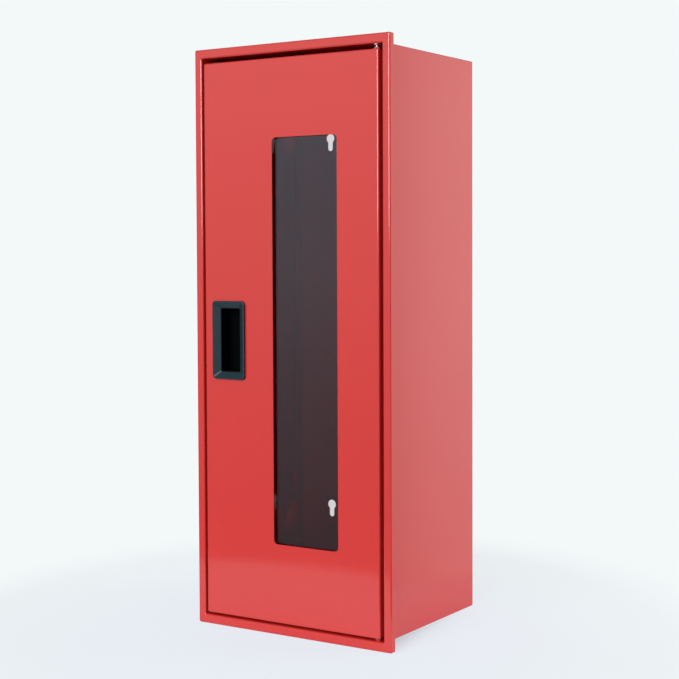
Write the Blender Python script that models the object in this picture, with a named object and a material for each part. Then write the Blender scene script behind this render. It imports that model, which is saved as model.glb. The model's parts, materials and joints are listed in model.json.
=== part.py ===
"""Recessed fire extinguisher cabinet.

A folded steel box with a trim flange, a pivot-hung glazed door, a moulded pull handle and a
magnetic catch. Metres, +Z up, the front faces -Y. The origin lies under the middle of the
bounding box, level with the bottom edge of the flange.
"""

import math

import bmesh
import bpy
from mathutils import Matrix, Vector

# Fits
SEAT = 0.0003  # gap between faces that touch, and round a shank in its hole

# Sheet steel
SHEET = 0.0012
BEND = 0.0020  # outer radius of a fold
BEND_STEPS = 5
CORNER_STEPS = 4
EASED_EDGE = 0.0004  # radius on the upright edges of a plain block

# Box and trim flange
BOX_WIDTH = 0.280
BOX_HEIGHT = 0.738
CABINET_DEPTH = 0.232  # face of the flange to the back of the box
BOX_CORNER = 0.0020
FLANGE_OVERHANG = 0.010  # flange past the sides of the box
FLANGE_OVERHANG_ENDS = 0.011  # and past its top and bottom
FLANGE_RETURN = 0.009
BACK_LIP = 0.014

# Keyhole slots in the back panel
KEYHOLE_SPACING_X = 0.174
KEYHOLE_UPPER_Z = 0.6555  # heights of the two rows of heads
KEYHOLE_LOWER_Z = 0.1298
KEYHOLE_HEAD = 0.0135
KEYHOLE_SLOT = 0.0080
KEYHOLE_LENGTH = 0.0245

# Door
DOOR_GAP_LEFT = 0.0035
DOOR_GAP_RIGHT = 0.0051
DOOR_GAP_TOP = 0.0064
DOOR_GAP_BOTTOM = 0.0032
DOOR_DEPTH = 0.018
DOOR_LIP = 0.012
DOOR_CORNER = 0.0025

# Window
WINDOW_WIDTH = 0.0989
WINDOW_HEIGHT = 0.5225
WINDOW_CORNER = 0.006
WINDOW_MARGIN = 0.0610  # hinge edge of the door to the window
WINDOW_RISE = 0.0005  # centre of the window above the centre of the door
PANE_OVERLAP = 0.012
PANE_THICKNESS = 0.003
PANE_CORNER = 0.002
GASKET_THICKNESS = 0.0022
GASKET_SETBACK = 0.0015  # edge of the window to the gasket
GASKET_WIDTH = 0.009

# Glazing clips, their weld studs and nuts
CLIPS_PER_SIDE = 4
CLIP_INSET = 0.052  # end of the window to the nearest clip
CLIP_SHEET = 0.0010
CLIP_WIDTH = 0.014
CLIP_FOOT = 0.013
CLIP_BITE = 0.006  # reach of a clip over the pane
STUD_RADIUS = 0.0018
STUD_LENGTH = 0.0072
NUT_ACROSS = 0.0070
NUT_HEIGHT = 0.0032

# Pull handle
HANDLE_WIDTH = 0.0513
HANDLE_HEIGHT = 0.1028
HANDLE_MARGIN = 0.0140  # latch edge of the door to the bezel
HANDLE_RISE = 0.0007  # centre of the handle above the centre of the door
HANDLE_CORNER = 0.0050
HANDLE_PROUD = 0.0035
HANDLE_EDGE = 0.0008
HANDLE_LAND = 0.0010
HANDLE_WALL = 0.0018
HANDLE_OVERLAP = 0.0028  # bezel over the edge of its cut-out
POCKET_WIDTH = 0.0300
POCKET_HEIGHT = 0.0824
POCKET_CORNER = 0.0020
POCKET_SINK = 0.0025  # rim of the pocket behind the face of the door
POCKET_DEPTH = 0.0225
POCKET_DRAFT = 0.0008
BOSS_RADIUS = 0.0032
BOSS_STANDOFF = 0.0006  # screw bosses past the back of the pocket
BRIDGE_WIDTH = 0.014
BRIDGE_FOOT = 0.009

# Pivots
PIVOT_INSET = 0.0067  # hinge edge of the door to the pivot
PIVOT_SETBACK = 0.0080  # face of the door to the pivot
PIN_RADIUS = 0.0025
PIN_HEAD_RADIUS = 0.0048
PIN_HEAD = 0.0018
PIN_COLLAR = 0.0007
PIN_REACH = 0.0030  # pin past the plate inside the door
CLIP_RING = 0.0007
CLIP_RING_RADIUS = 0.0048
GROOVE_DEPTH = 0.0006
BUSH_WALL = 0.0008
BUSH_RIM = 0.0006
HINGE_PLATE = 0.0020
HINGE_PLATE_LENGTH = 0.026
HINGE_PLATE_WIDTH = 0.011
HINGE_PLATE_CORNER = 0.0010

# Magnetic catch and its strike
CATCH_LENGTH = 0.046
CATCH_TOP_GAP = 0.0025  # top of the box to the catch
CATCH_THICKNESS = 0.0125
CATCH_BLOCK = 0.0124
CATCH_FOOT = 0.013
CATCH_FOOT_THICKNESS = 0.0028
CATCH_WALL = 0.0010
MAGNET_THICKNESS = 0.0030
MAGNET_LENGTH = 0.034
MAGNET_DEPTH = 0.0086
MAGNET_RECESS = 0.0014  # face of the magnet behind the edges of the pole plates
POLE_THICKNESS = 0.0010
POLE_PROUD = 0.0008
STRIKE_WIDTH = 0.0080
STRIKE_LENGTH = 0.034
STRIKE_THICKNESS = 0.0016
STRIKE_CORNER = 0.0015
RIVET_RADIUS = 0.0016
RIVET_HEAD_RADIUS = 0.0029

# Screws
SCREW_RADIUS = 0.0016
SCREW_HEAD_RADIUS = 0.0034
SCREW_HEAD = 0.0022
SCREW_PAST_WALL = 0.0025
CATCH_SCREW_PITCH = 0.028
HANDLE_SCREW_LENGTH = 0.008

# Door stop
STOP_Z = 0.080
STOP_WIDTH = 0.020
STOP_FOOT = 0.018
STOP_ARM = 0.0140
BUMPER_RADIUS = 0.0040
BUMPER_HEIGHT = 0.0030
BUMPER_STEM_RADIUS = 0.0015

# Heights, widths and depths that follow from the sizes above. Depth runs back from the flange face.
FRONT_Y = (HANDLE_PROUD - CABINET_DEPTH) / 2
BOX_BOTTOM = FLANGE_OVERHANG_ENDS
BOX_TOP = BOX_BOTTOM + BOX_HEIGHT
BOX_MIDDLE = (BOX_BOTTOM + BOX_TOP) / 2
INNER_X = BOX_WIDTH / 2 - SHEET  # inner face of a side wall
DOOR_LEFT = DOOR_GAP_LEFT - INNER_X
DOOR_RIGHT = INNER_X - DOOR_GAP_RIGHT
DOOR_BOTTOM = BOX_BOTTOM + SHEET + DOOR_GAP_BOTTOM
DOOR_TOP = BOX_TOP - SHEET - DOOR_GAP_TOP
DOOR_X = (DOOR_LEFT + DOOR_RIGHT) / 2
DOOR_Z = (DOOR_BOTTOM + DOOR_TOP) / 2
WINDOW_X = DOOR_RIGHT - WINDOW_MARGIN - WINDOW_WIDTH / 2
WINDOW_Z = DOOR_Z + WINDOW_RISE
GASKET_FRONT = SHEET + SEAT
PANE_FRONT = GASKET_FRONT + GASKET_THICKNESS + SEAT
PANE_BACK = PANE_FRONT + PANE_THICKNESS
PIVOT_X = DOOR_RIGHT - PIVOT_INSET
HANDLE_X = DOOR_LEFT + HANDLE_MARGIN + HANDLE_WIDTH / 2
HANDLE_Z = DOOR_Z + HANDLE_RISE
BUSH_RADIUS = PIN_RADIUS + SEAT + BUSH_WALL
BUSH_COLLAR = DOOR_GAP_BOTTOM - PIN_COLLAR - 3 * SEAT  # the door rests on the lower pin's collar
STRIKE_BACK = DOOR_DEPTH + SEAT + STRIKE_THICKNESS
POLE_FRONT = STRIKE_BACK + SEAT
CATCH_FRONT = POLE_FRONT + POLE_PROUD
CATCH_Z = BOX_TOP - SHEET - CATCH_TOP_GAP - CATCH_LENGTH / 2
CATCH_INNER_X = SEAT + CATCH_THICKNESS - INNER_X  # face of the catch towards the middle

SMOOTH_BELOW = math.radians(35)


# ---------------------------------------------------------------- outlines


def rounded_rectangle(half_width, half_height, radius, steps=CORNER_STEPS):
    """Corners as arcs, always with the same number of points."""
    points = []
    for quarter, (side, up) in enumerate(((1, 1), (-1, 1), (-1, -1), (1, -1))):
        centre = Vector((side * (half_width - radius), up * (half_height - radius)))
        for step in range(steps + 1):
            angle = math.radians(90) * (quarter + step / steps)
            points.append(centre + radius * Vector((math.cos(angle), math.sin(angle))))
    return points


def arc(radius, start, end, steps):
    angles = [math.radians(start + (end - start) * step / steps) for step in range(steps + 1)]
    return [radius * Vector((math.cos(angle), math.sin(angle))) for angle in angles]


def circle(radius, steps=24):
    return arc(radius, 0, 360, steps)[:-1]


def hexagon(across):
    """Twelve points: the six corners and the middles of the flats between them."""
    points = []
    for step in range(12):
        reach = across / 2 / (math.cos(math.radians(30)) if step % 2 == 0 else 1)
        angle = math.radians(30 * step)
        points.append(reach * Vector((math.cos(angle), math.sin(angle))))
    return points


def stadium(length, width, steps=8):
    """A slot with round ends, long along its first axis."""
    reach = (length - width) / 2
    right = [point + Vector((reach, 0)) for point in arc(width / 2, -90, 90, steps)]
    left = [point - Vector((reach, 0)) for point in arc(width / 2, 90, 270, steps)]
    return right + left


def keyhole():
    """A round head with a slot below it, about the centre of the head."""
    head = KEYHOLE_HEAD / 2
    slot = KEYHOLE_SLOT / 2
    neck = math.degrees(math.asin(slot / head))
    foot = Vector((0, head + slot - KEYHOLE_LENGTH))
    return arc(head, neck - 90, 270 - neck, 20) + [
        point + foot for point in arc(slot, 180, 360, 10)
    ]


def fold(corners, thickness=SHEET, bend=BEND):
    """The two faces of a folded sheet whose mid-line turns at these corners."""
    corners = [Vector(corner) for corner in corners]
    radius = bend - thickness / 2
    first = (corners[1] - corners[0]).normalized()
    last = (corners[-1] - corners[-2]).normalized()
    stations = [(corners[0], first.orthogonal())]
    for before, corner, after in zip(corners, corners[1:], corners[2:]):
        heading = (corner - before).normalized()
        leaving = (after - corner).normalized()
        turn = math.atan2(heading.cross(leaving), heading.dot(leaving))
        side = heading.orthogonal()
        start = corner - heading * radius * math.tan(abs(turn) / 2)
        centre = start + side * math.copysign(radius, turn)
        for step in range(BEND_STEPS + 1):
            spin = Matrix.Rotation(turn * step / BEND_STEPS, 2)
            stations.append((centre + spin @ (start - centre), spin @ side))
    stations.append((corners[-1], last.orthogonal()))
    one = [point + side * thickness / 2 for point, side in stations]
    other = [point - side * thickness / 2 for point, side in stations]
    return one, other


def fold_outline(corners, thickness=SHEET, bend=BEND):
    one, other = fold(corners, thickness, bend)
    return one + other[::-1]


# ---------------------------------------------------------------- solids


def facing_front(outline, depth):
    """An outline across X and Z, at a depth along Y."""
    return [Vector((point[0], depth, point[1])) for point in outline]


def facing_up(outline, height):
    return [Vector((point[0], point[1], height)) for point in outline]


def facing_side(outline, offset):
    """An outline across Y and Z, at an offset along X."""
    return [Vector((offset, point[0], point[1])) for point in outline]


def lofted(name, loops, closed=False):
    """A solid skinned from loop to loop. A closed one returns to its first loop, as a ring does."""
    mesh = bpy.data.meshes.new(name)
    shape = bmesh.new()
    rings = [[shape.verts.new(point) for point in loop] for loop in loops]
    pairs = list(zip(rings, rings[1:]))
    if closed:
        pairs.append((rings[-1], rings[0]))
    else:
        shape.faces.new(rings[0])
        shape.faces.new(rings[-1])
    for ring, following in pairs:
        for index in range(len(ring)):
            beside = (index + 1) % len(ring)
            shape.faces.new((ring[index], ring[beside], following[beside], following[index]))
    bmesh.ops.recalc_face_normals(shape, faces=shape.faces)
    shape.to_mesh(mesh)
    shape.free()
    mesh.shade_smooth()
    mesh.set_sharp_from_angle(angle=SMOOTH_BELOW)
    return mesh


def prism(name, outline, start, end, lift=facing_front):
    return lofted(name, [lift(outline, start), lift(outline, end)])


def block(name, width, depth, height, radius=EASED_EDGE):
    """A box about its own centre, its upright edges eased."""
    outline = rounded_rectangle(width / 2, depth / 2, radius, steps=1)
    return prism(name, outline, -height / 2, height / 2, facing_up)


def turned(name, profile, lift=facing_up, steps=24, closed=False):
    """A solid of revolution from (radius, height) pairs."""
    return lofted(name, [lift(circle(radius, steps), height) for radius, height in profile], closed)


def finish(name, color, roughness, metallic=0.0, transmission=0.0):
    material = bpy.data.materials.new(name)
    material.use_nodes = True
    shader = material.node_tree.nodes["Principled BSDF"]
    shader.inputs["Base Color"].default_value = (*color, 1.0)
    shader.inputs["Roughness"].default_value = roughness
    shader.inputs["Metallic"].default_value = metallic
    shader.inputs["Transmission Weight"].default_value = transmission
    material.diffuse_color = (*color, 1.0)
    return material


def place(name, mesh, material, at=(0, 0, 0), turn=(0, 0, 0), body=None):
    """An object of this mesh at a point of the world, carried by a body's empty."""
    piece = bpy.data.objects.new(name, mesh)
    bpy.context.collection.objects.link(piece)
    piece.location = Vector(at)
    piece.rotation_euler = turn
    if body is not None:
        piece.parent = body
        piece.location -= body.location
    if not mesh.materials:
        mesh.materials.append(material)
    return piece


def tool(piece, mesh, at=(0, 0, 0), operation="DIFFERENCE"):
    """Cuts this mesh from a piece, or welds it on, at a point of the piece's own space."""
    helper = bpy.data.objects.new(piece.name + "_" + mesh.name, mesh)
    bpy.context.collection.objects.link(helper)
    helper.parent = piece
    helper.location = Vector(at)
    helper.hide_render = True
    helper.display_type = "WIRE"
    step = piece.modifiers.new(mesh.name, "BOOLEAN")
    step.object = helper
    step.operation = operation
    step.solver = "EXACT"


def world(x, depth, z):
    return Vector((x, FRONT_Y + depth, z))


# ---------------------------------------------------------------- cabinet


def box_corner(offset):
    """Corner radius of the box's sheet at an offset from its outer face."""
    return min(BOX_CORNER, max(BOX_CORNER + offset, BOX_CORNER - SHEET))


def cabinet_shell(steel):
    """Four walls in one belt, folded out at the front into the trim flange and its return."""
    wall = -SHEET / 2
    rim = FLANGE_OVERHANG - SHEET / 2
    face = SHEET / 2
    section = fold_outline(
        [(rim, FLANGE_RETURN), (rim, face), (wall, face), (wall, CABINET_DEPTH)]
    )
    loops = []
    for offset, depth in section:
        on_rim = offset > FLANGE_OVERHANG / 2
        extra = FLANGE_OVERHANG_ENDS - FLANGE_OVERHANG if on_rim else 0
        outline = rounded_rectangle(
            BOX_WIDTH / 2 + offset, BOX_HEIGHT / 2 + offset + extra, box_corner(offset)
        )
        loops.append(facing_front(outline, depth))
    shell = place(
        "cabinet_shell", lofted("shell", loops, closed=True), steel, world(0, 0, BOX_MIDDLE)
    )
    hole = turned("pin_hole", [(PIN_RADIUS + SEAT, -2 * SHEET), (PIN_RADIUS + SEAT, 2 * SHEET)])
    for side in (-1, 1):
        tool(shell, hole, (PIVOT_X, PIVOT_SETBACK, side * (BOX_HEIGHT - SHEET) / 2))
    screw_hole = prism(
        "catch_screw_hole", circle(SCREW_RADIUS + SEAT, 16), -2 * SHEET, 2 * SHEET, facing_side
    )
    for side in (-1, 1):
        height = CATCH_Z - BOX_MIDDLE + side * CATCH_SCREW_PITCH / 2
        tool(shell, screw_hole, ((SHEET - BOX_WIDTH) / 2, catch_screw_depth(), height))
    return shell


def back_panel(steel):
    """A shallow tray that closes the box from behind, with four keyhole slots."""
    half_width = INNER_X - SEAT
    half_height = BOX_HEIGHT / 2 - SHEET - SEAT
    middle = CABINET_DEPTH - SHEET / 2
    section = fold_outline(
        [(-2 * BEND, middle), (-SHEET / 2, middle), (-SHEET / 2, CABINET_DEPTH - BACK_LIP)]
    )
    loops = []
    for offset, depth in section:
        corner = max(BOX_CORNER + offset, BOX_CORNER - SHEET)
        loops.append(
            facing_front(
                rounded_rectangle(half_width + offset, half_height + offset, corner), depth
            )
        )
    panel = place("back_panel", lofted("panel", loops), steel, world(0, 0, BOX_MIDDLE))
    slot = prism("keyhole", keyhole(), CABINET_DEPTH - 3 * SHEET, CABINET_DEPTH + SHEET)
    for side in (-1, 1):
        for height in (KEYHOLE_UPPER_Z, KEYHOLE_LOWER_Z):
            tool(panel, slot, (side * KEYHOLE_SPACING_X / 2, 0, height - BOX_MIDDLE))
    return panel


# ---------------------------------------------------------------- pivots


def pivot_pins(plated):
    """The upper pin drops in from above and is held by a ring, the lower one is riveted."""
    hole_top = DOOR_TOP - SHEET - SEAT - HINGE_PLATE
    groove_top = BOX_TOP - SHEET
    groove_bottom = groove_top - CLIP_RING - 2 * SEAT
    groove = PIN_RADIUS - GROOVE_DEPTH
    upper = [
        (PIN_RADIUS - GROOVE_DEPTH, hole_top - PIN_REACH),
        (PIN_RADIUS, hole_top - PIN_REACH + GROOVE_DEPTH),
        (PIN_RADIUS, groove_bottom),
        (groove, groove_bottom),
        (groove, groove_top),
        (PIN_RADIUS, groove_top),
        (PIN_RADIUS, BOX_TOP + SEAT),
        (PIN_HEAD_RADIUS, BOX_TOP + SEAT),
        (PIN_HEAD_RADIUS, BOX_TOP + SEAT + PIN_HEAD * 2 / 3),
        (PIN_HEAD_RADIUS * 3 / 4, BOX_TOP + SEAT + PIN_HEAD),
    ]
    place("upper_pivot_pin", turned("upper_pin", upper), plated, world(PIVOT_X, PIVOT_SETBACK, 0))
    floor = BOX_BOTTOM + SHEET
    collar_radius = PIN_RADIUS + BUSH_WALL + SEAT
    reach = DOOR_BOTTOM + SHEET + SEAT + HINGE_PLATE + PIN_REACH
    lower = [
        (PIN_HEAD_RADIUS * 3 / 4, BOX_BOTTOM - SEAT - PIN_HEAD),
        (PIN_HEAD_RADIUS, BOX_BOTTOM - SEAT - PIN_HEAD * 2 / 3),
        (PIN_HEAD_RADIUS, BOX_BOTTOM - SEAT),
        (PIN_RADIUS, BOX_BOTTOM - SEAT),
        (PIN_RADIUS, floor + SEAT),
        (collar_radius, floor + SEAT),
        (collar_radius, floor + SEAT + PIN_COLLAR),
        (PIN_RADIUS, floor + SEAT + PIN_COLLAR),
        (PIN_RADIUS, reach - GROOVE_DEPTH),
        (PIN_RADIUS - GROOVE_DEPTH, reach),
    ]
    place("lower_pivot_pin", turned("lower_pin", lower), plated, world(PIVOT_X, PIVOT_SETBACK, 0))
    ring = arc(CLIP_RING_RADIUS, 40, 320, 20) + arc(groove + SEAT, 320, 40, 20)
    top = groove_top - SEAT
    place(
        "upper_pin_ring",
        prism("pin_ring", ring, top - CLIP_RING, top, facing_up),
        plated,
        world(PIVOT_X, PIVOT_SETBACK, 0),
    )


def pivot_bushes(nylon, door):
    """Two alike, each a sleeve through the door's edge with a tapered collar outside it."""
    bore = PIN_RADIUS + SEAT
    inner_end = -(SHEET + SEAT + HINGE_PLATE + 2 * SEAT)
    collar = BUSH_RADIUS + BUSH_RIM
    profile = [
        (bore, inner_end),
        (BUSH_RADIUS, inner_end),
        (BUSH_RADIUS, SEAT),
        (collar, SEAT),
        (collar, SEAT + BUSH_COLLAR / 4),
        (BUSH_RADIUS, SEAT + BUSH_COLLAR),
        (bore, SEAT + BUSH_COLLAR),
    ]
    bush = turned("bush", profile, closed=True)
    place("upper_pivot_bush", bush, nylon, world(PIVOT_X, PIVOT_SETBACK, DOOR_TOP), body=door)
    place(
        "lower_pivot_bush",
        bush,
        nylon,
        world(PIVOT_X, PIVOT_SETBACK, DOOR_BOTTOM),
        (math.radians(180), 0, 0),
        door,
    )


def hinge_plates(steel, door):
    """Doublers welded inside the top and bottom edges of the door, round the bushes."""
    end = PIVOT_INSET - BEND - SEAT  # reach from the pivot towards the hinge edge
    outline = [
        point + Vector((end - HINGE_PLATE_LENGTH / 2, 0))
        for point in rounded_rectangle(
            HINGE_PLATE_LENGTH / 2, HINGE_PLATE_WIDTH / 2, HINGE_PLATE_CORNER
        )
    ]
    plate = prism("hinge_plate", outline, -HINGE_PLATE / 2, HINGE_PLATE / 2, facing_up)
    radius = BUSH_RADIUS + SEAT
    hole = turned("bush_hole", [(radius, -HINGE_PLATE), (radius, HINGE_PLATE)])
    setback = SHEET + SEAT + HINGE_PLATE / 2
    for name, height in (
        ("upper_hinge_plate", DOOR_TOP - setback),
        ("lower_hinge_plate", DOOR_BOTTOM + setback),
    ):
        doubler = place(name, plate, steel, world(PIVOT_X, PIVOT_SETBACK, height), body=door)
        tool(doubler, hole)


# ---------------------------------------------------------------- door


def clip_places():
    """(x, z, direction away from the window) of every glazing clip's stud."""
    reach = WINDOW_WIDTH / 2 + PANE_OVERLAP + clip_riser() + CLIP_FOOT / 2
    span = WINDOW_HEIGHT - 2 * CLIP_INSET
    for side, label in ((-1, "left"), (1, "right")):
        for index in range(CLIPS_PER_SIDE):
            rise = span * (index / (CLIPS_PER_SIDE - 1) - 1 / 2)
            yield f"{label}_{index + 1}", WINDOW_X + side * reach, WINDOW_Z + rise, side


def clip_riser():
    """Edge of the pane to the mid-line of a clip's riser."""
    return CLIP_SHEET / 2 + 2 * SEAT


def door_panel(steel, door):
    """One sheet folded back and then inwards on all four edges, cut for window and handle."""
    half_width = (DOOR_RIGHT - DOOR_LEFT) / 2
    half_height = (DOOR_TOP - DOOR_BOTTOM) / 2
    edge = -SHEET / 2
    section = fold_outline(
        [
            (-2 * BEND, SHEET / 2),
            (edge, SHEET / 2),
            (edge, DOOR_DEPTH - SHEET / 2),
            (-DOOR_LIP, DOOR_DEPTH - SHEET / 2),
        ]
    )
    loops = []
    for offset, depth in section:
        corner = max(DOOR_CORNER + offset, DOOR_CORNER - SHEET)
        loops.append(
            facing_front(
                rounded_rectangle(half_width + offset, half_height + offset, corner), depth
            )
        )
    panel = place("door_panel", lofted("door", loops), steel, world(DOOR_X, 0, DOOR_Z), body=door)
    window = rounded_rectangle(WINDOW_WIDTH / 2, WINDOW_HEIGHT / 2, WINDOW_CORNER, steps=6)
    tool(
        panel,
        prism("window", window, -SHEET, 3 * SHEET),
        (WINDOW_X - DOOR_X, 0, WINDOW_Z - DOOR_Z),
    )
    cut = handle_collar_size()
    opening = rounded_rectangle(cut[0] + SEAT, cut[1] + SEAT, cut[2] + SEAT)
    tool(
        panel,
        prism("handle_opening", opening, -SHEET, 3 * SHEET),
        (HANDLE_X - DOOR_X, 0, HANDLE_Z - DOOR_Z),
    )
    radius = BUSH_RADIUS + SEAT
    bush_hole = turned("edge_hole", [(radius, -2 * SHEET), (radius, 2 * SHEET)])
    for side in (-1, 1):
        tool(
            panel, bush_hole, (PIVOT_X - DOOR_X, PIVOT_SETBACK, side * (half_height - SHEET / 2))
        )
    rivet_hole = prism(
        "rivet_hole", circle(RIVET_RADIUS + SEAT, 16), DOOR_DEPTH - 2 * SHEET, DOOR_DEPTH + SHEET
    )
    tool(panel, rivet_hole, (strike_x() - DOOR_X, 0, strike_z() - DOOR_Z))
    stud = prism("weld_stud", circle(STUD_RADIUS, 12), SHEET / 2, SHEET + STUD_LENGTH)
    for _, x, z, _ in clip_places():
        tool(panel, stud, (x - DOOR_X, 0, z - DOOR_Z), "UNION")
    return panel


def glazing(glass, rubber, door):
    """The pane and the gasket between it and the sheet."""
    half_width = WINDOW_WIDTH / 2
    half_height = WINDOW_HEIGHT / 2
    pane = rounded_rectangle(
        half_width + PANE_OVERLAP, half_height + PANE_OVERLAP, PANE_CORNER
    )
    place(
        "window_pane",
        prism("pane", pane, PANE_FRONT, PANE_BACK),
        glass,
        world(WINDOW_X, 0, WINDOW_Z),
        body=door,
    )
    inside = rounded_rectangle(
        half_width + GASKET_SETBACK, half_height + GASKET_SETBACK, WINDOW_CORNER + GASKET_SETBACK
    )
    reach = GASKET_SETBACK + GASKET_WIDTH
    outside = rounded_rectangle(half_width + reach, half_height + reach, PANE_CORNER)
    back = GASKET_FRONT + GASKET_THICKNESS
    loops = [
        facing_front(inside, GASKET_FRONT),
        facing_front(outside, GASKET_FRONT),
        facing_front(outside, back),
        facing_front(inside, back),
    ]
    place(
        "glazing_gasket",
        lofted("gasket", loops, closed=True),
        rubber,
        world(WINDOW_X, 0, WINDOW_Z),
        body=door,
    )


def glazing_clips(plated, door):
    """Z-shaped clips that hold the pane's edge down, each under a nut on its stud."""
    foot = SHEET + SEAT + CLIP_SHEET / 2
    finger = PANE_BACK + SEAT + CLIP_SHEET / 2
    riser = -CLIP_FOOT / 2
    tip = riser - clip_riser() - CLIP_BITE
    corners = [(CLIP_FOOT / 2, foot), (riser, foot), (riser, finger), (tip, finger)]
    outline = fold_outline(corners, CLIP_SHEET, CLIP_SHEET * 3 / 2)
    clip = prism("glazing_clip", outline, -CLIP_WIDTH / 2, CLIP_WIDTH / 2, facing_up)
    hole = prism("stud_hole", circle(STUD_RADIUS + SEAT, 12), 0, 2 * foot)
    nut_front = SHEET + CLIP_SHEET + 2 * SEAT
    nut_back = nut_front + NUT_HEIGHT
    bore = circle(STUD_RADIUS + SEAT, 12)
    nut = lofted(
        "clip_nut",
        [
            facing_front(bore, nut_front),
            facing_front(hexagon(NUT_ACROSS), nut_front),
            facing_front(hexagon(NUT_ACROSS), nut_back),
            facing_front(bore, nut_back),
        ],
        closed=True,
    )
    for label, x, z, side in clip_places():
        turn = (0, 0 if side > 0 else math.radians(180), 0)
        piece = place("glazing_clip_" + label, clip, plated, world(x, 0, z), turn, door)
        tool(piece, hole)
        place("clip_nut_" + label, nut, plated, world(x, 0, z), turn, door)


# ---------------------------------------------------------------- handle


def handle_collar_size():
    """Half width, half height and corner radius of the handle where it passes the sheet."""
    return (
        HANDLE_WIDTH / 2 - HANDLE_OVERLAP,
        HANDLE_HEIGHT / 2 - HANDLE_OVERLAP,
        HANDLE_CORNER - HANDLE_OVERLAP,
    )


def boss_rise():
    """Centre of the handle to a screw boss, which stands on the end wall of the pocket."""
    return POCKET_HEIGHT / 2 + HANDLE_WALL + SCREW_RADIUS + SEAT


def boss_end():
    return POCKET_DEPTH + HANDLE_WALL + BOSS_STANDOFF


def pull_handle(plastic, door):
    """A moulded cup: a proud rim, a frame that slopes inwards and a pocket for the fingers."""
    width = HANDLE_WIDTH / 2
    height = HANDLE_HEIGHT / 2
    pocket_width = POCKET_WIDTH / 2
    pocket_height = POCKET_HEIGHT / 2
    collar_width, collar_height, collar_corner = handle_collar_size()
    inset = HANDLE_EDGE + HANDLE_LAND
    floor_round = HANDLE_WALL
    behind = SHEET + HANDLE_WALL
    wall_width = pocket_width + HANDLE_WALL
    wall_height = pocket_height + HANDLE_WALL
    # half width, half height, corner radius and depth of each loop, from the pocket's floor
    # forwards to the rim and back along the outside
    sizes = [
        (pocket_width - POCKET_DRAFT - floor_round, pocket_height - POCKET_DRAFT - floor_round,
         POCKET_CORNER / 2, POCKET_DEPTH),
        (pocket_width - POCKET_DRAFT, pocket_height - POCKET_DRAFT, POCKET_CORNER,
         POCKET_DEPTH - floor_round),
        (pocket_width, pocket_height, POCKET_CORNER, POCKET_SINK),
        (width - inset, height - inset, HANDLE_CORNER - inset, -HANDLE_PROUD),
        (width - HANDLE_EDGE, height - HANDLE_EDGE, HANDLE_CORNER - HANDLE_EDGE, -HANDLE_PROUD),
        (width - HANDLE_EDGE / 4, height - HANDLE_EDGE / 4, HANDLE_CORNER - HANDLE_EDGE / 4,
         -HANDLE_PROUD + HANDLE_EDGE / 4),
        (width, height, HANDLE_CORNER, -HANDLE_PROUD + HANDLE_EDGE),
        (width, height, HANDLE_CORNER, -SEAT),
        (collar_width, collar_height, collar_corner, -SEAT),
        (collar_width, collar_height, collar_corner, behind),
        (wall_width, wall_height, POCKET_CORNER, POCKET_SINK + 2 * HANDLE_WALL),
        (wall_width - POCKET_DRAFT, wall_height - POCKET_DRAFT, POCKET_CORNER, POCKET_DEPTH),
        (pocket_width - POCKET_DRAFT, pocket_height - POCKET_DRAFT, POCKET_CORNER / 2,
         POCKET_DEPTH + HANDLE_WALL),
    ]
    loops = [
        facing_front(rounded_rectangle(half_w, half_h, corner), depth)
        for half_w, half_h, corner, depth in sizes
    ]
    handle = place(
        "pull_handle", lofted("handle", loops), plastic, world(HANDLE_X, 0, HANDLE_Z), body=door
    )
    boss = prism("boss", circle(BOSS_RADIUS, 16), POCKET_SINK + HANDLE_WALL / 3, boss_end())
    pilot = prism(
        "pilot",
        circle(SCREW_RADIUS + SEAT, 12),
        boss_end() - HANDLE_SCREW_LENGTH,
        boss_end() + SHEET,
    )
    for side in (-1, 1):
        tool(handle, boss, (0, 0, side * boss_rise()), "UNION")
    for side in (-1, 1):
        tool(handle, pilot, (0, 0, side * boss_rise()))
    return handle


def screw_profile(seat, length):
    """A pan head that bears on the plane at seat, with its shank running to smaller heights."""
    return [
        (SCREW_RADIUS / 4, seat - length),
        (SCREW_RADIUS, seat - length + 2 * SCREW_RADIUS),
        (SCREW_RADIUS, seat),
        (SCREW_HEAD_RADIUS, seat),
        (SCREW_HEAD_RADIUS, seat + SCREW_HEAD / 2),
        (SCREW_HEAD_RADIUS * 3 / 4, seat + SCREW_HEAD * 9 / 10),
        (SCREW_HEAD_RADIUS / 3, seat + SCREW_HEAD),
    ]


def handle_bridge(plated, door):
    """A strap over the back of the pocket, screwed to the bosses, with feet on the sheet."""
    web = boss_end() + SEAT + CLIP_SHEET / 2
    foot = SHEET + SEAT + CLIP_SHEET / 2
    leg = handle_collar_size()[1] + CLIP_SHEET
    corners = [
        (foot, leg + BRIDGE_FOOT),
        (foot, leg),
        (web, leg),
        (web, -leg),
        (foot, -leg),
        (foot, -leg - BRIDGE_FOOT),
    ]
    outline = fold_outline(corners, CLIP_SHEET, 2 * CLIP_SHEET)
    at = world(HANDLE_X, 0, HANDLE_Z)
    strap = prism("bridge", outline, -BRIDGE_WIDTH / 2, BRIDGE_WIDTH / 2, facing_side)
    bridge = place("handle_bridge", strap, plated, at, body=door)
    hole = prism("screw_hole", circle(SCREW_RADIUS + SEAT, 12), boss_end(), web + CLIP_SHEET)
    seat = boss_end() + CLIP_SHEET + 2 * SEAT
    screw = turned("handle_screw", screw_profile(seat, HANDLE_SCREW_LENGTH), facing_front, 16)
    for label, side in (("upper", 1), ("lower", -1)):
        rise = Vector((0, 0, side * boss_rise()))
        tool(bridge, hole, rise)
        place("handle_screw_" + label, screw, plated, at + rise, body=door)


# ---------------------------------------------------------------- catch


def catch_screw_depth():
    return CATCH_FRONT + CATCH_BLOCK + CATCH_FOOT / 2


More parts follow.
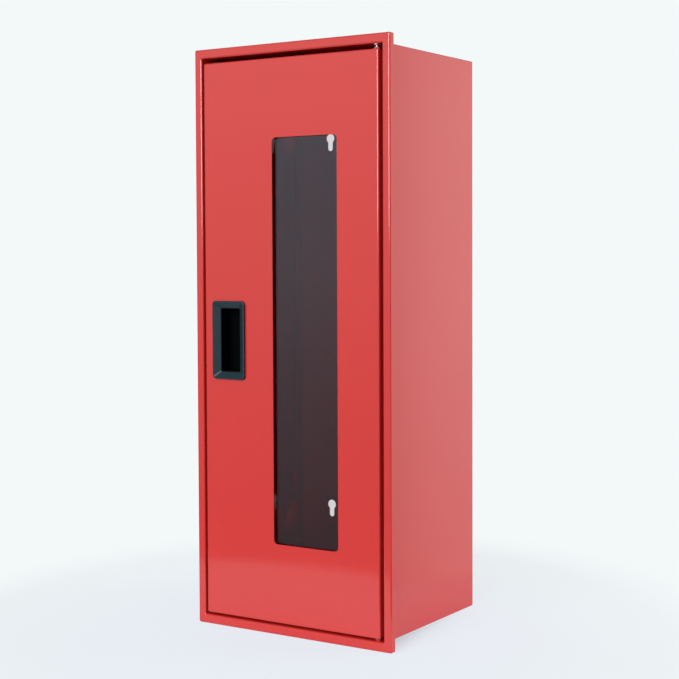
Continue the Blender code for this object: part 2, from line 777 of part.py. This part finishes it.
def pocket_middle_x():
    """Middle of the magnet's pocket, which lies one wall inside the catch's inner face."""
    return CATCH_INNER_X - CATCH_WALL - pocket_thickness() / 2


def pocket_thickness():
    return MAGNET_THICKNESS + 2 * POLE_THICKNESS + 4 * SEAT


def strike_x():
    """The strike lies on the flat of the door's lip, next to its fold."""
    return DOOR_LEFT + BEND + STRIKE_WIDTH / 2


def strike_z():
    """The strike ends at the fold of the door's top edge, or faces the catch's middle."""
    return min(CATCH_Z, DOOR_TOP - BEND - STRIKE_LENGTH / 2)


def catch_body(plastic):
    """A moulded block on the latch-side wall, with a pocket in its face and a foot behind."""
    wall = SEAT - INNER_X
    front = CATCH_FRONT
    back = front + CATCH_BLOCK
    outline = [
        (wall, front),
        (CATCH_INNER_X, front),
        (CATCH_INNER_X, back),
        (wall + CATCH_FOOT_THICKNESS, back),
        (wall + CATCH_FOOT_THICKNESS, back + CATCH_FOOT),
        (wall, back + CATCH_FOOT),
    ]
    body = place(
        "catch_housing",
        prism("catch", outline, -CATCH_LENGTH / 2, CATCH_LENGTH / 2, facing_up),
        plastic,
        world(0, 0, CATCH_Z),
    )
    depth = MAGNET_DEPTH + MAGNET_RECESS - POLE_PROUD + SEAT
    pocket = block("magnet_pocket", pocket_thickness(), 2 * depth, MAGNET_LENGTH + 2 * SEAT)
    tool(body, pocket, (pocket_middle_x(), front, 0))
    slot = prism(
        "screw_slot",
        stadium(4 * SCREW_RADIUS, 2 * (SCREW_RADIUS + SEAT)),
        -CATCH_FOOT_THICKNESS,
        2 * CATCH_FOOT_THICKNESS,
        facing_side,
    )
    for side in (-1, 1):
        tool(body, slot, (wall, catch_screw_depth(), side * CATCH_SCREW_PITCH / 2))


def catch_magnet(ferrite, plated):
    """The magnet between two steel pole plates, whose edges stand proud of the housing."""
    back = POLE_FRONT + MAGNET_RECESS + MAGNET_DEPTH
    place(
        "catch_magnet",
        block("magnet", MAGNET_THICKNESS, MAGNET_DEPTH, MAGNET_LENGTH),
        ferrite,
        world(pocket_middle_x(), back - MAGNET_DEPTH / 2, CATCH_Z),
    )
    depth = back - POLE_FRONT
    plate = block("pole_plate", POLE_THICKNESS, depth, MAGNET_LENGTH, EASED_EDGE / 2)
    apart = MAGNET_THICKNESS / 2 + SEAT + POLE_THICKNESS / 2
    for label, side in (("outer", -1), ("inner", 1)):
        place(
            "catch_pole_plate_" + label,
            plate,
            plated,
            world(pocket_middle_x() + side * apart, back - depth / 2, CATCH_Z),
        )


def catch_screws(plated):
    """Two screws through the foot's slots into the wall, heads towards the middle."""
    seat = SEAT - INNER_X + CATCH_FOOT_THICKNESS + SEAT
    length = seat + BOX_WIDTH / 2 + SCREW_PAST_WALL
    screw = turned("catch_screw", screw_profile(seat, length), facing_side, steps=16)
    for label, side in (("upper", 1), ("lower", -1)):
        at = world(0, catch_screw_depth(), CATCH_Z + side * CATCH_SCREW_PITCH / 2)
        place("catch_screw_" + label, screw, plated, at)


def strike(plated, door):
    """The plate that the magnet holds, with one countersunk rivet through the door's lip."""
    front = DOOR_DEPTH + SEAT
    outline = rounded_rectangle(STRIKE_WIDTH / 2, STRIKE_LENGTH / 2, STRIKE_CORNER)
    at = world(strike_x(), 0, strike_z())
    plate = place(
        "catch_strike", prism("strike", outline, front, STRIKE_BACK), plated, at, body=door
    )
    sunk = STRIKE_THICKNESS * 2 / 3
    countersink = [
        (RIVET_RADIUS + SEAT, front - SHEET),
        (RIVET_RADIUS + SEAT, STRIKE_BACK - sunk),
        (RIVET_HEAD_RADIUS + SEAT, STRIKE_BACK),
        (RIVET_HEAD_RADIUS + SEAT, STRIKE_BACK + SHEET),
    ]
    tool(plate, turned("countersink", countersink, facing_front, steps=16))
    lip = DOOR_DEPTH - SHEET - SEAT
    rivet = [
        (RIVET_HEAD_RADIUS / 2, lip - RIVET_RADIUS),
        (RIVET_HEAD_RADIUS, lip - RIVET_RADIUS / 2),
        (RIVET_HEAD_RADIUS, lip),
        (RIVET_RADIUS, lip),
        (RIVET_RADIUS, STRIKE_BACK - sunk),
        (RIVET_HEAD_RADIUS - SEAT, STRIKE_BACK - SEAT),
    ]
    place("strike_rivet", turned("rivet", rivet, facing_front, steps=16), plated, at, body=door)


# ---------------------------------------------------------------- stop


def door_stop(steel, rubber):
    """An angle welded to the latch-side wall, with a push-in bumper that meets the door's lip."""
    arm_front = DOOR_DEPTH + SEAT + BUMPER_HEIGHT + SEAT
    arm = arm_front + SHEET / 2
    wall = SEAT - INNER_X + SHEET / 2
    corners = [(wall, arm + STOP_FOOT), (wall, arm), (wall + STOP_ARM, arm)]
    outline = fold_outline(corners)
    bracket = place(
        "stop_bracket",
        prism("stop", outline, -STOP_WIDTH / 2, STOP_WIDTH / 2, facing_up),
        steel,
        world(0, 0, STOP_Z),
    )
    bumper_x = wall + STOP_ARM - BUMPER_RADIUS - SHEET / 2
    hole = prism(
        "bumper_hole", circle(BUMPER_STEM_RADIUS + SEAT, 16), arm - 2 * SHEET, arm + 2 * SHEET
    )
    tool(bracket, hole, (bumper_x, 0, 0))
    front = DOOR_DEPTH + SEAT
    behind = arm_front + SHEET + SEAT
    bumper = [
        (BUMPER_RADIUS * 3 / 5, front),
        (BUMPER_RADIUS * 9 / 10, front + BUMPER_HEIGHT / 5),
        (BUMPER_RADIUS, front + BUMPER_HEIGHT / 2),
        (BUMPER_RADIUS, front + BUMPER_HEIGHT),
        (BUMPER_STEM_RADIUS, front + BUMPER_HEIGHT),
        (BUMPER_STEM_RADIUS, behind),
        (BUMPER_STEM_RADIUS * 3 / 2, behind),
        (BUMPER_STEM_RADIUS / 2, behind + BUMPER_HEIGHT / 2),
    ]
    place(
        "stop_bumper",
        turned("bumper", bumper, facing_front, steps=20),
        rubber,
        world(bumper_x, 0, STOP_Z),
    )


def build():
    for item in list(bpy.data.objects):
        bpy.data.objects.remove(item)
    red = finish("red_powder_coat", (0.62, 0.036, 0.030), 0.35)
    plated = finish("zinc_plated_steel", (0.62, 0.62, 0.60), 0.35, metallic=1.0)
    black = finish("black_abs", (0.020, 0.026, 0.030), 0.45)
    rubber = finish("black_rubber", (0.015, 0.015, 0.016), 0.80)
    nylon = finish("natural_nylon", (0.78, 0.76, 0.70), 0.50)
    brown = finish("brown_plastic", (0.060, 0.030, 0.018), 0.50)
    ferrite = finish("ferrite", (0.040, 0.038, 0.038), 0.60)
    glass = finish("clear_glass", (0.95, 0.97, 0.96), 0.02, transmission=1.0)

    door = bpy.data.objects.new("door_axis", None)
    bpy.context.collection.objects.link(door)
    door.location = world(PIVOT_X, PIVOT_SETBACK, DOOR_BOTTOM)
    bpy.context.view_layer.update()

    cabinet_shell(red)
    back_panel(red)
    pivot_pins(plated)
    catch_body(brown)
    catch_magnet(ferrite, plated)
    catch_screws(plated)
    door_stop(red, rubber)

    door_panel(red, door)
    glazing(glass, rubber, door)
    glazing_clips(plated, door)
    pull_handle(black, door)
    handle_bridge(plated, door)
    strike(plated, door)
    pivot_bushes(nylon, door)
    hinge_plates(red, door)


build()
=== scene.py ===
"""The looks of a recessed fire extinguisher cabinet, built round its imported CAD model."""

import json
import math

import bpy
from mathutils import Matrix, Vector

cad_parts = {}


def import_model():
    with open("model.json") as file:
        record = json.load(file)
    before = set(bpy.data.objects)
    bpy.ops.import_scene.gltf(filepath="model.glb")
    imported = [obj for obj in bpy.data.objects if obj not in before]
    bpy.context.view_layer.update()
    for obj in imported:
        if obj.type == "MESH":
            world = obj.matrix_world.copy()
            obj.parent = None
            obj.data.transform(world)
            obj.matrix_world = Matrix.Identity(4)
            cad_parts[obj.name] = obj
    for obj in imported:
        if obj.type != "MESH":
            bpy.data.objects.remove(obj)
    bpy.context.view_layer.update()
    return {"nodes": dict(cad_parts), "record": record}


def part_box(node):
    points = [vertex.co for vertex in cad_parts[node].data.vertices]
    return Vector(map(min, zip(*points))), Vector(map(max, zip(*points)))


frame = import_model()
nodes = frame["nodes"]

# Camera, from the middle of the flange's front edge line
CAMERA_OFFSET = Vector((1.0710, -1.5366, 0.1158))
CAMERA_YAW = math.radians(32.925)
CAMERA_PITCH = math.radians(-2.286)
CAMERA_ROLL = math.radians(-0.235)
CAMERA_LENS = 78.06
CAMERA_SENSOR = 36.0
CAMERA_SHIFT = -0.0446

# Materials. A pair of colours is the darkest and the lightest of a tone that drifts with a noise
COAT = ((0.655, 0.0345, 0.0300), (0.705, 0.0375, 0.0330))
PAINTED = ("upper_pivot_pin", "lower_pivot_pin")  # plated pins, painted with the cabinet
ZINC = ((0.42, 0.42, 0.40), (0.66, 0.66, 0.64))
MOULDED = {  # by material slot: the pair of colours, and the roughness
    "black_rubber": ((0.010, 0.010, 0.011), (0.020, 0.020, 0.021), 0.75),
    "natural_nylon": ((0.37, 0.16, 0.14), (0.47, 0.22, 0.19), 0.45),  # dull red in the photo
    "brown_plastic": ((0.046, 0.024, 0.015), (0.066, 0.036, 0.022), 0.45),
    "ferrite": ((0.026, 0.025, 0.025), (0.050, 0.048, 0.047), 0.60),
}
MOULDED_DRIFT = 0.06  # of the roughness, to either side
CUP_FRAME = ((0.012, 0.031, 0.042), (0.017, 0.040, 0.053))
# painted shade down in the pull's pocket: its colour darkens to this
CUP_POCKET_SHADE = (0.0010, 0.0015, 0.0020)
CUP_POCKET_GLOSS_SHADE = (0.10, 0.10, 0.10)  # share of the frame's gloss left in the pocket: painted shade on its reflections
CUP_POCKET_ROUGH = 0.9
POCKET_SINK = 0.0050  # from the cup pull's front to where painted shade darkens its pocket, which also turns rough
POCKET_FADE = 0.001  # and how far that change takes

# Lamps: name, place, width, height, brightness where 1 is white, and whether gloss shows them
LAMPS = (
    ("key", (-0.15, -8.0, 2.9), 5.85, 4.7, 7.0, True),
    ("side", (3.5, 1.9, 0.9), 1.6, 1.4, 13.9, False),
    ("fill", (-3.5, 1.4, 0.9), 1.6, 1.4, 5.5, False),
)
LAMP_AIM = (0.0, 0.0, 0.4)

# Floor. To the eye most of it is an even pale look, and the lamps light the rest
FLOOR_SIZE = 12.0
FLOOR_GAP = 0.0015  # under the rear edge of the box
FLOOR_LIT = (0.78, 0.85, 0.92, 1.0)
FLOOR_PALE = (0.845, 0.885, 0.955)
BACKDROP = (0.896, 0.947, 0.947)
PALE_SHARE = 0.85  # share of the pale look to the eye near the object, and in gloss
PALE_GLOSS = 0.34
FOOT_REACH = 0.10  # in front of the flange's foot, where gloss sees less of the pale look: painted shade in reflections of the floor
FOOT_EDGE = 0.01  # behind the foot, where the ground under the box begins
UNDER_SHARE = 0.80  # share of the pale look that is lost there, so that the shadow shows
UNDER_OUTSIDE = 0.03  # from the box's side outwards to where that loss starts
UNDER_INSIDE = 0.05  # and inwards to where it is full
SWEEP_NEAR = 0.05  # radius where the floor starts to turn into the backdrop
SWEEP_FAR = 0.62  # and where it has turned
PAPER_MIDDLE = (-0.20, 0.065, 0.0)  # gloss and matt faces see the floor only round this point
PAPER_END = 0.48  # within this radius, and past it they see the world
PAPER_FADE = 0.07

# World, in linear light where 1 is white
AMBIENT = (0.22, 0.22, 0.22)  # what matt faces see of the room in front
AMBIENT_WALL = (0.50, 0.50, 0.50)  # and of the wall behind
THROUGH_PANE = (0.05, 0.05, 0.05)  # and all round by way of the pane
WALL_STARTS = 0.25  # Y of a direction where the room in front gives way to the wall behind
WALL_FULL = 0.64
# What gloss sees of the room and of the wall, by a direction's Z from straight down to up
ROOM = (
    (-1.0, 0.10),
    (-0.26, 0.21),
    (-0.18, 0.27),
    (-0.13, 0.34),
    (-0.10, 0.37),
    (-0.075, 0.42),
    (-0.035, 0.50),
    (0.0, 0.56),
    (0.034, 0.585),
    (0.07, 0.65),
    (0.13, 0.78),
    (0.30, 0.70),
    (0.50, 0.25),
    (1.0, 0.08),
)
WALL = (
    (-1.0, 0.55),
    (-0.24, 0.72),
    (-0.20, 0.84),
    (-0.12, 0.98),
    (-0.03, 1.10),
    (0.10, 1.14),
    (0.35, 0.8),
    (0.6, 0.2),
    (1.0, 0.05),
)
# Where they darken sideways: start, end, and the share that is left past it
ROOM_RIGHT = (0.35, 0.75, 0.12)  # X of a direction
ROOM_LEFT = (-0.70, -0.90, 0.25)
WALL_TURN = (math.radians(29.1), math.radians(30.9), 0.79)  # turn from straight back

# Sockets of Blender's mix node for colours
MIX_FACTOR, MIX_ONE, MIX_OTHER, MIX_RESULT = 0, 6, 7, 2

shell_low, shell_high = (Vector(corner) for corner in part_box("cabinet_shell"))
back_low, back_high = (Vector(corner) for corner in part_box("back_panel"))
middle = (shell_low + shell_high) / 2


# ---------------------------------------------------------------- node helpers


class Shader:
    """A node tree under construction. Sockets go by name or index."""

    def __init__(self, tree):
        self.tree = tree

    def link(self, source, target):
        self.tree.links.new(source, target)

    def node(self, kind, inputs=None, **settings):
        """A node: a value in inputs is set on its socket, and a socket is linked to it."""
        made = self.tree.nodes.new(kind)
        for label, value in settings.items():
            setattr(made, label, value)
        for key, value in (inputs or {}).items():
            if isinstance(value, bpy.types.NodeSocket):
                self.link(value, made.inputs[key])
            else:
                made.inputs[key].default_value = value
        return made

    def math(self, operation, *values):
        return self.node(
            "ShaderNodeMath", dict(enumerate(values)), operation=operation
        ).outputs["Value"]

    def times(self, *values):
        """The product of two or more values."""
        product = values[0]
        for value in values[1:]:
            product = self.math("MULTIPLY", product, value)
        return product

    def complement(self, value):
        """1 minus a value."""
        return self.math("SUBTRACT", 1.0, value)

    def spread(self, source, from_low, from_high, to_low=0.0, to_high=1.0, smooth=False):
        """A source mapped from one range to another, and held at its ends."""
        return self.node(
            "ShaderNodeMapRange",
            {
                "Value": source,
                "From Min": from_low,
                "From Max": from_high,
                "To Min": to_low,
                "To Max": to_high,
            },
            interpolation_type="SMOOTHSTEP" if smooth else "LINEAR",
        ).outputs["Result"]

    def steps(self, source, levels):
        """Grey levels along a source from 0 to 1, named at places from -1 to 1."""
        ramp = self.node("ShaderNodeValToRGB", {"Fac": source})
        stops = ramp.color_ramp.elements
        for place, _ in levels[1:-1]:
            stops.new((place + 1) / 2)
        for stop, (_, level) in zip(stops, levels):
            stop.color = (level, level, level, 1.0)
        return ramp.outputs["Color"]

    def blend(self, factor, one, other):
        """A mix of two colours, each a socket or a tuple, by a factor from a socket."""
        one, other = (
            colour if isinstance(colour, bpy.types.NodeSocket) else (*colour, 1.0)
            for colour in (one, other)
        )
        return self.node(
            "ShaderNodeMix",
            {MIX_FACTOR: factor, MIX_ONE: one, MIX_OTHER: other},
            data_type="RGBA",
        ).outputs[MIX_RESULT]


class Finish(Shader):
    """A material with one Principled BSDF, whose even inputs are given by keyword."""

    def __init__(self, name, **inputs):
        self.material = bpy.data.materials.new(name)
        self.material.use_nodes = True
        super().__init__(self.material.node_tree)
        self.bsdf = self.tree.nodes["Principled BSDF"]
        for label, value in inputs.items():
            self.bsdf.inputs[label.replace("_", " ")].default_value = value

    def feed(self, source, label):
        self.link(source, self.bsdf.inputs[label])

    def place(self):
        return self.node("ShaderNodeTexCoord").outputs["Object"]

    def noise(self, scale, detail):
        return self.node(
            "ShaderNodeTexNoise", {"Vector": self.place(), "Scale": scale, "Detail": detail}
        ).outputs["Fac"]

    def drift(self, scale, detail, low, high):
        """A value that drifts with a noise, over the noise's whole range."""
        return self.spread(self.noise(scale, detail), 0.0, 1.0, low, high)

    def bump(self, height, distance, under=None):
        links = {"Height": height, "Distance": distance}
        if under is not None:
            links["Normal"] = under
        return self.node("ShaderNodeBump", links).outputs["Normal"]

    def mould(self, dark, light, low, high):
        """Feeds the fine grain of a spark-eroded mould, and gives its tone and roughness."""
        tone = self.blend(self.noise(scale=60.0, detail=3.0), dark, light)
        rough = self.drift(scale=90.0, detail=3.0, low=low, high=high)
        grain = self.bump(self.noise(scale=1500.0, detail=2.0), distance=0.00002)
        self.feed(grain, "Normal")
        return tone, rough


def rays(shader):
    """Whether a ray leads straight to the eye, to it by gloss, or by the pane to a matt face.

    Each is 0 or 1. A ray's depths are whole numbers, so a half parts none from some.
    """
    path = shader.node("ShaderNodeLightPath").outputs
    plain = shader.math("LESS_THAN", path["Diffuse Depth"], 0.5)
    by_gloss = shader.math("GREATER_THAN", path["Glossy Depth"], 0.5)
    through = shader.times(path["Is Transmission Ray"], plain)
    mirrored = shader.math(
        "MAXIMUM",
        shader.times(path["Is Glossy Ray"], plain),
        shader.times(through, by_gloss),
    )
    straight = shader.math(
        "MAXIMUM", path["Is Camera Ray"], shader.times(through, shader.complement(by_gloss))
    )
    inside = shader.math("SUBTRACT", path["Is Transmission Ray"], through)
    return straight, mirrored, inside


# ---------------------------------------------------------------- materials


def powder_coat():
    """Gloss red with the fine peel of a baked coat and the faintest drift in tone and gloss."""
    coat = Finish("red_powder_coat", Specular_IOR_Level=1.0)
    coat.feed(coat.blend(coat.noise(scale=7.0, detail=3.0), *COAT), "Base Color")
    coat.feed(coat.drift(scale=22.0, detail=3.0, low=0.07, high=0.11), "Roughness")
    fine = coat.bump(coat.noise(scale=520.0, detail=1.0), distance=0.000007)
    peel = coat.bump(coat.noise(scale=95.0, detail=1.0), distance=0.000012, under=fine)
    coat.feed(peel, "Normal")
    return coat.material


def zinc():
    """Bright zinc plate with a fine, uneven crystal."""
    plate = Finish("zinc_plated_steel", Metallic=1.0)
    plate.feed(plate.blend(plate.noise(scale=260.0, detail=4.0), *ZINC), "Base Color")
    plate.feed(plate.drift(scale=700.0, detail=3.0, low=0.32, high=0.55), "Roughness")
    plate.feed(plate.bump(plate.noise(scale=900.0, detail=2.0), distance=0.00002), "Normal")
    return plate.material


def moulded(name, dark, light, roughness):
    """Moulded plastic or rubber, of one finish all over."""
    skin = Finish(name)
    tone, rough = skin.mould(
        dark, light, low=roughness - MOULDED_DRIFT, high=roughness + MOULDED_DRIFT
    )
    skin.feed(tone, "Base Color")
    skin.feed(rough, "Roughness")
    return skin.material


def cup_moulding():
    """Black plastic with a satin frame, and a rough finish down in the pocket, darkened there by
    painted shade in colour and gloss.
    """
    cup = Finish("black_abs", Specular_IOR_Level=0.36)
    tone, rough = cup.mould(*CUP_FRAME, low=0.30, high=0.42)
    depth = cup.node("ShaderNodeSeparateXYZ", {0: cup.place()}).outputs["Y"]
    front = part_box("pull_handle")[0][1]
    # painted shade: colour and gloss darken with depth into the pocket, which also turns rough
    pocket_shade_and_rough = cup.spread(depth, front + POCKET_SINK, front + POCKET_SINK + POCKET_FADE)
    cup.feed(cup.blend(pocket_shade_and_rough, tone, CUP_POCKET_SHADE), "Base Color")
    cup.feed(cup.blend(pocket_shade_and_rough, (1.0, 1.0, 1.0), CUP_POCKET_GLOSS_SHADE), "Specular Tint")
    cup.feed(cup.math("MAXIMUM", rough, cup.times(pocket_shade_and_rough, CUP_POCKET_ROUGH)), "Roughness")
    return cup.material


def clear_glass():
    """Lightly tinted float glass, wiped almost evenly clean."""
    glass = Finish(
        "clear_glass",
        Base_Color=(0.77, 0.74, 0.76, 1.0),
        Specular_Tint=(0.73, 0.86, 1.0, 1.0),
        IOR=1.67,
        Transmission_Weight=1.0,
    )
    glass.feed(glass.drift(scale=25.0, detail=3.0, low=0.0, high=0.02), "Roughness")
    return glass.material


FINISHES = {
    "red_powder_coat": powder_coat(),
    "zinc_plated_steel": zinc(),
    "black_abs": cup_moulding(),
    **{slot: moulded(slot, *look) for slot, look in MOULDED.items()},
    "clear_glass": clear_glass(),
}
for subpart in frame["record"]["subparts"]:
    painted = subpart["node"] in PAINTED
    finish = "red_powder_coat" if painted else subpart["material_slot"]
    materials = nodes[subpart["node"]].data.materials
    materials.clear()
    materials.append(FINISHES[finish])


# ---------------------------------------------------------------- stage and light


def floor():
    """The cabinet leans back on the bottom edge of its flange and the rear edge of its box."""
    rise = back_low.z - FLOOR_GAP - shell_low.z
    run = back_high.y - shell_low.y
    tilt = math.atan2(rise, run)
    bpy.ops.mesh.primitive_plane_add(
        size=FLOOR_SIZE, location=(0, shell_low.y, 0), rotation=(tilt, 0, 0)
    )
    plane = bpy.context.object
    plane.name = "floor"
    plane.data.materials.append(paper())


def shaded(sheet, place):
    """How far a place on the floor is under the box, and how far it is at its foot in front,
    where gloss gets painted shade.

    Under the box it is 1 behind the foot, and 0 at the rear edge that the box stands on.
    """
    axes = sheet.node("ShaderNodeSeparateXYZ", {0: place}).outputs
    side = sheet.math("ABSOLUTE", sheet.math("SUBTRACT", axes["X"], middle.x))
    half = (back_high.x - back_low.x) / 2
    depth = back_high.y - shell_low.y
    across = sheet.spread(side, half + UNDER_OUTSIDE, half - UNDER_INSIDE, smooth=True)
    behind = sheet.spread(axes["Y"], 0.0, FOOT_EDGE)
    lifted = sheet.spread(axes["Y"], 0.0, depth, 1.0, 0.0)
    before = sheet.math("SUBTRACT", sheet.spread(axes["Y"], -FOOT_REACH, 0.0), behind)
    wide = sheet.spread(side, shell_high.x, shell_high.x + FOOT_REACH, 1.0, 0.0)
    return sheet.times(behind, lifted, across), sheet.times(before, wide)


def paper():
    """White paper that turns into the backdrop with distance.

    Reflections and matt faces see through it past its end, and so does a matt face behind the
    pane all over it.
    """
    sheet = Finish("floor_paper", Base_Color=FLOOR_LIT, Roughness=1.0, Specular_IOR_Level=0.0)
    place = sheet.place()
    straight, mirrored, inside = rays(sheet)

    radius = sheet.node("ShaderNodeVectorMath", {0: place}, operation="LENGTH").outputs["Value"]
    away = sheet.spread(radius, SWEEP_NEAR, SWEEP_FAR, smooth=True)
    under, foot_shade = shaded(sheet, place)
    kept = sheet.complement(sheet.times(under, UNDER_SHARE))
    to_eye = sheet.math("MAXIMUM", away, sheet.times(kept, PALE_SHARE))
    # painted shade: gloss sees less of the pale floor at the box's foot
    in_gloss = sheet.times(kept, sheet.complement(foot_shade), PALE_GLOSS)
    share = sheet.math(
        "MAXIMUM", sheet.times(straight, to_eye), sheet.times(mirrored, in_gloss)
    )
    lit = sheet.bsdf.outputs["BSDF"]
    pale = sheet.node(
        "ShaderNodeEmission", {"Color": sheet.blend(away, FLOOR_PALE, BACKDROP)}
    ).outputs["Emission"]
    bright = sheet.node("ShaderNodeMixShader", {0: share, 1: lit, 2: pale}).outputs[0]

    off = sheet.node(
        "ShaderNodeVectorMath", {0: place, 1: PAPER_MIDDLE}, operation="DISTANCE"
    ).outputs["Value"]
    past = sheet.spread(off, PAPER_END, PAPER_END + PAPER_FADE, smooth=True)
    gone = sheet.times(sheet.math("MAXIMUM", past, inside), sheet.complement(straight))
    clear = sheet.node("ShaderNodeBsdfTransparent").outputs[0]
    whole = sheet.node("ShaderNodeMixShader", {0: gone, 1: bright, 2: clear}).outputs[0]
    sheet.link(whole, sheet.tree.nodes["Material Output"].inputs["Surface"])
    return sheet.material


def softbox(name, place, width, height, radiance, shines):
    """A rectangular lamp, turned to the object and unseen by the camera and through glass."""
    light = bpy.data.lights.new(name, "AREA")
    light.shape = "RECTANGLE"
    light.size = width
    light.size_y = height
    light.energy = radiance * math.pi * width * height
    lamp = bpy.data.objects.new(name, light)
    bpy.context.collection.objects.link(lamp)
    beam = Vector(LAMP_AIM) - Vector(place)
    lamp.location = place
    lamp.rotation_euler = beam.to_track_quat("-Z", "Y").to_euler()
    lamp.visible_camera = False
    lamp.visible_transmission = False
    lamp.visible_glossy = shines


def world():
    """Pale to the eye, dim to matt faces, and in gloss a room in front and a wall behind."""
    studio = bpy.data.worlds.new("studio")
    bpy.context.scene.world = studio
    studio.use_nodes = True
    sky = Shader(studio.node_tree)
    heading = sky.node("ShaderNodeTexCoord").outputs["Generated"]
    axes = sky.node("ShaderNodeSeparateXYZ", {0: heading}).outputs
    level = sky.spread(axes["Z"], -1.0, 1.0)

    def fade(source, start, end, left):
        return sky.spread(source, start, end, 1.0, left, smooth=True)

    turn = sky.math("ABSOLUTE", sky.math("ARCTAN2", axes["X"], axes["Y"]))
    wall = sky.times(sky.steps(level, WALL), fade(turn, *WALL_TURN))
    sides = sky.times(fade(axes["X"], *ROOM_RIGHT), fade(axes["X"], *ROOM_LEFT))
    room = sky.times(sky.steps(level, ROOM), sides)
    behind = sky.spread(axes["Y"], WALL_STARTS, WALL_FULL, smooth=True)
    gloss = sky.blend(behind, room, wall)

    straight, mirrored, inside = rays(sky)
    matt = sky.blend(inside, sky.blend(behind, AMBIENT, AMBIENT_WALL), THROUGH_PANE)
    unseen = sky.blend(mirrored, matt, gloss)
    seen = sky.blend(straight, unseen, BACKDROP)
    sky.link(seen, studio.node_tree.nodes["Background"].inputs["Color"])


def camera():
    data = bpy.data.cameras.new("camera")
    data.sensor_width = CAMERA_SENSOR
    data.lens = CAMERA_LENS
    data.shift_y = CAMERA_SHIFT
    eye = bpy.data.objects.new("camera", data)
    bpy.context.collection.objects.link(eye)
    anchor = Vector((middle.x, shell_low.y, middle.z))
    turn = (
        Matrix.Rotation(CAMERA_YAW, 4, "Z")
        @ Matrix.Rotation(math.radians(90) + CAMERA_PITCH, 4, "X")
        @ Matrix.Rotation(CAMERA_ROLL, 4, "Z")
    )
    eye.matrix_world = Matrix.Translation(anchor + CAMERA_OFFSET) @ turn
    bpy.context.scene.camera = eye


floor()
world()
for lamp in LAMPS:
    softbox(*lamp)
camera()
bpy.context.scene.view_settings.view_transform = "Standard"
